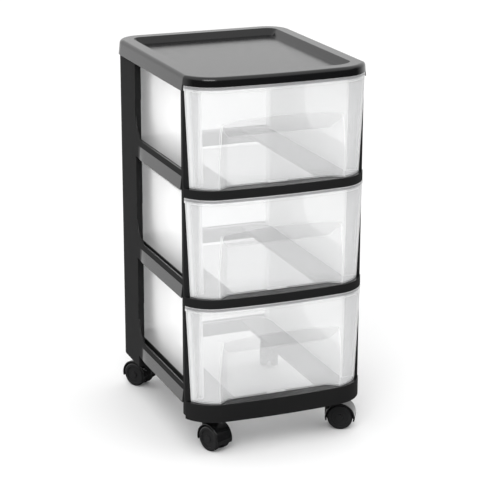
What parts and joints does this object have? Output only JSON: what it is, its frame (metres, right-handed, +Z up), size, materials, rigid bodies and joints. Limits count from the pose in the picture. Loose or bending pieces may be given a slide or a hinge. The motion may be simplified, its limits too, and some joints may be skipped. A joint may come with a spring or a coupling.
{
  "type": "drawer tower",
  "caption": "Tall slim storage tower with a black plastic frame, a shallow tray top, clear bow-fronted drawers and twin-wheel castors.",
  "frame": {"origin": "on the floor, under the middle of the box around the tower", "axes": "+Z up, front of the drawers towards -Y, +X to the right as the front is seen"},
  "size_m": [0.322, 0.4, 0.645],
  "materials": {
    "frame_plastic": "satin",
    "drawer_plastic": "frosted clear",
    "castor_plastic": "satin",
    "wheel_plastic": "satin",
    "castor_steel": "zinc plated"
  },
  "bodies": {
    "carcass": {"top_cover": "frame_plastic", "bottom_frame": "frame_plastic", "bottom_post_front_left": "frame_plastic", "bottom_post_front_right": "frame_plastic", "bottom_post_rear_left": "frame_plastic", "bottom_post_rear_right": "frame_plastic", "middle_frame": "frame_plastic", "middle_post_front_left": "frame_plastic", "middle_post_front_right": "frame_plastic", "middle_post_rear_left": "frame_plastic", "middle_post_rear_right": "frame_plastic", "top_frame": "frame_plastic", "top_post_front_left": "frame_plastic", "top_post_front_right": "frame_plastic", "top_post_rear_left": "frame_plastic", "top_post_rear_right": "frame_plastic"},
    "bottom_drawer": {"bottom_drawer": "drawer_plastic"},
    "middle_drawer": {"middle_drawer": "drawer_plastic"},
    "top_drawer": {"top_drawer": "drawer_plastic"},
    "castor_front_left": {"castor_front_left_stem": "castor_steel", "castor_front_left_housing": "castor_plastic", "castor_front_left_axle": "castor_steel"},
    "castor_front_left_wheel_a": {"castor_front_left_wheel_a": "wheel_plastic"},
    "castor_front_left_wheel_b": {"castor_front_left_wheel_b": "wheel_plastic"},
    "castor_front_right": {"castor_front_right_stem": "castor_steel", "castor_front_right_housing": "castor_plastic", "castor_front_right_axle": "castor_steel"},
    "castor_front_right_wheel_a": {"castor_front_right_wheel_a": "wheel_plastic"},
    "castor_front_right_wheel_b": {"castor_front_right_wheel_b": "wheel_plastic"},
    "castor_rear_left": {"castor_rear_left_stem": "castor_steel", "castor_rear_left_housing": "castor_plastic", "castor_rear_left_axle": "castor_steel"},
    "castor_rear_left_wheel_a": {"castor_rear_left_wheel_a": "wheel_plastic"},
    "castor_rear_left_wheel_b": {"castor_rear_left_wheel_b": "wheel_plastic"},
    "castor_rear_right": {"castor_rear_right_stem": "castor_steel", "castor_rear_right_housing": "castor_plastic", "castor_rear_right_axle": "castor_steel"},
    "castor_rear_right_wheel_a": {"castor_rear_right_wheel_a": "wheel_plastic"},
    "castor_rear_right_wheel_b": {"castor_rear_right_wheel_b": "wheel_plastic"}
  },
  "joints": [
    {"name": "bottom_drawer_slide", "type": "slide", "parent": "carcass", "child": "bottom_drawer", "axis": [0, -1, 0], "range_m": [0, 0.26]},
    {"name": "middle_drawer_slide", "type": "slide", "parent": "carcass", "child": "middle_drawer", "axis": [0, -1, 0], "range_m": [0, 0.26]},
    {"name": "top_drawer_slide", "type": "slide", "parent": "carcass", "child": "top_drawer", "axis": [0, -1, 0], "range_m": [0, 0.26]},
    {"name": "castor_front_left_swivel", "type": "hinge", "parent": "carcass", "child": "castor_front_left", "pos_m": [-0.114, -0.139, 0.054], "axis": [0, 0, 1], "continuous": true},
    {"name": "castor_front_left_wheel_a_spin", "type": "hinge", "parent": "castor_front_left", "child": "castor_front_left_wheel_a", "pos_m": [-0.10688, -0.15662, 0.022], "axis": [0.9272, 0.3746, 0], "continuous": true},
    {"name": "castor_front_left_wheel_b_spin", "type": "hinge", "parent": "castor_front_left", "child": "castor_front_left_wheel_b", "pos_m": [-0.10688, -0.15662, 0.022], "axis": [0.9272, 0.3746, 0], "continuous": true},
    {"name": "castor_front_right_swivel", "type": "hinge", "parent": "carcass", "child": "castor_front_right", "pos_m": [0.114, -0.139, 0.054], "axis": [0, 0, 1], "continuous": true},
    {"name": "castor_front_right_wheel_a_spin", "type": "hinge", "parent": "castor_front_right", "child": "castor_front_right_wheel_a", "pos_m": [0.13045, -0.1485, 0.022], "axis": [0.5, 0.866, 0], "continuous": true},
    {"name": "castor_front_right_wheel_b_spin", "type": "hinge", "parent": "castor_front_right", "child": "castor_front_right_wheel_b", "pos_m": [0.13045, -0.1485, 0.022], "axis": [0.5, 0.866, 0], "continuous": true},
    {"name": "castor_rear_left_swivel", "type": "hinge", "parent": "carcass", "child": "castor_rear_left", "pos_m": [-0.121, 0.152, 0.054], "axis": [0, 0, 1], "continuous": true},
    {"name": "castor_rear_left_wheel_a_spin", "type": "hinge", "parent": "castor_rear_left", "child": "castor_rear_left_wheel_a", "pos_m": [-0.1305, 0.16845, 0.022], "axis": [-0.866, -0.5, 0], "continuous": true},
    {"name": "castor_rear_left_wheel_b_spin", "type": "hinge", "parent": "castor_rear_left", "child": "castor_rear_left_wheel_b", "pos_m": [-0.1305, 0.16845, 0.022], "axis": [-0.866, -0.5, 0], "continuous": true},
    {"name": "castor_rear_right_swivel", "type": "hinge", "parent": "carcass", "child": "castor_rear_right", "pos_m": [0.121, 0.152, 0.054], "axis": [0, 0, 1], "continuous": true},
    {"name": "castor_rear_right_wheel_a_spin", "type": "hinge", "parent": "castor_rear_right", "child": "castor_rear_right_wheel_a", "pos_m": [0.12903, 0.16922, 0.022], "axis": [-0.9063, 0.4226, 0], "continuous": true},
    {"name": "castor_rear_right_wheel_b_spin", "type": "hinge", "parent": "castor_rear_right", "child": "castor_rear_right_wheel_b", "pos_m": [0.12903, 0.16922, 0.022], "axis": [-0.9063, 0.4226, 0], "continuous": true}
  ]
}
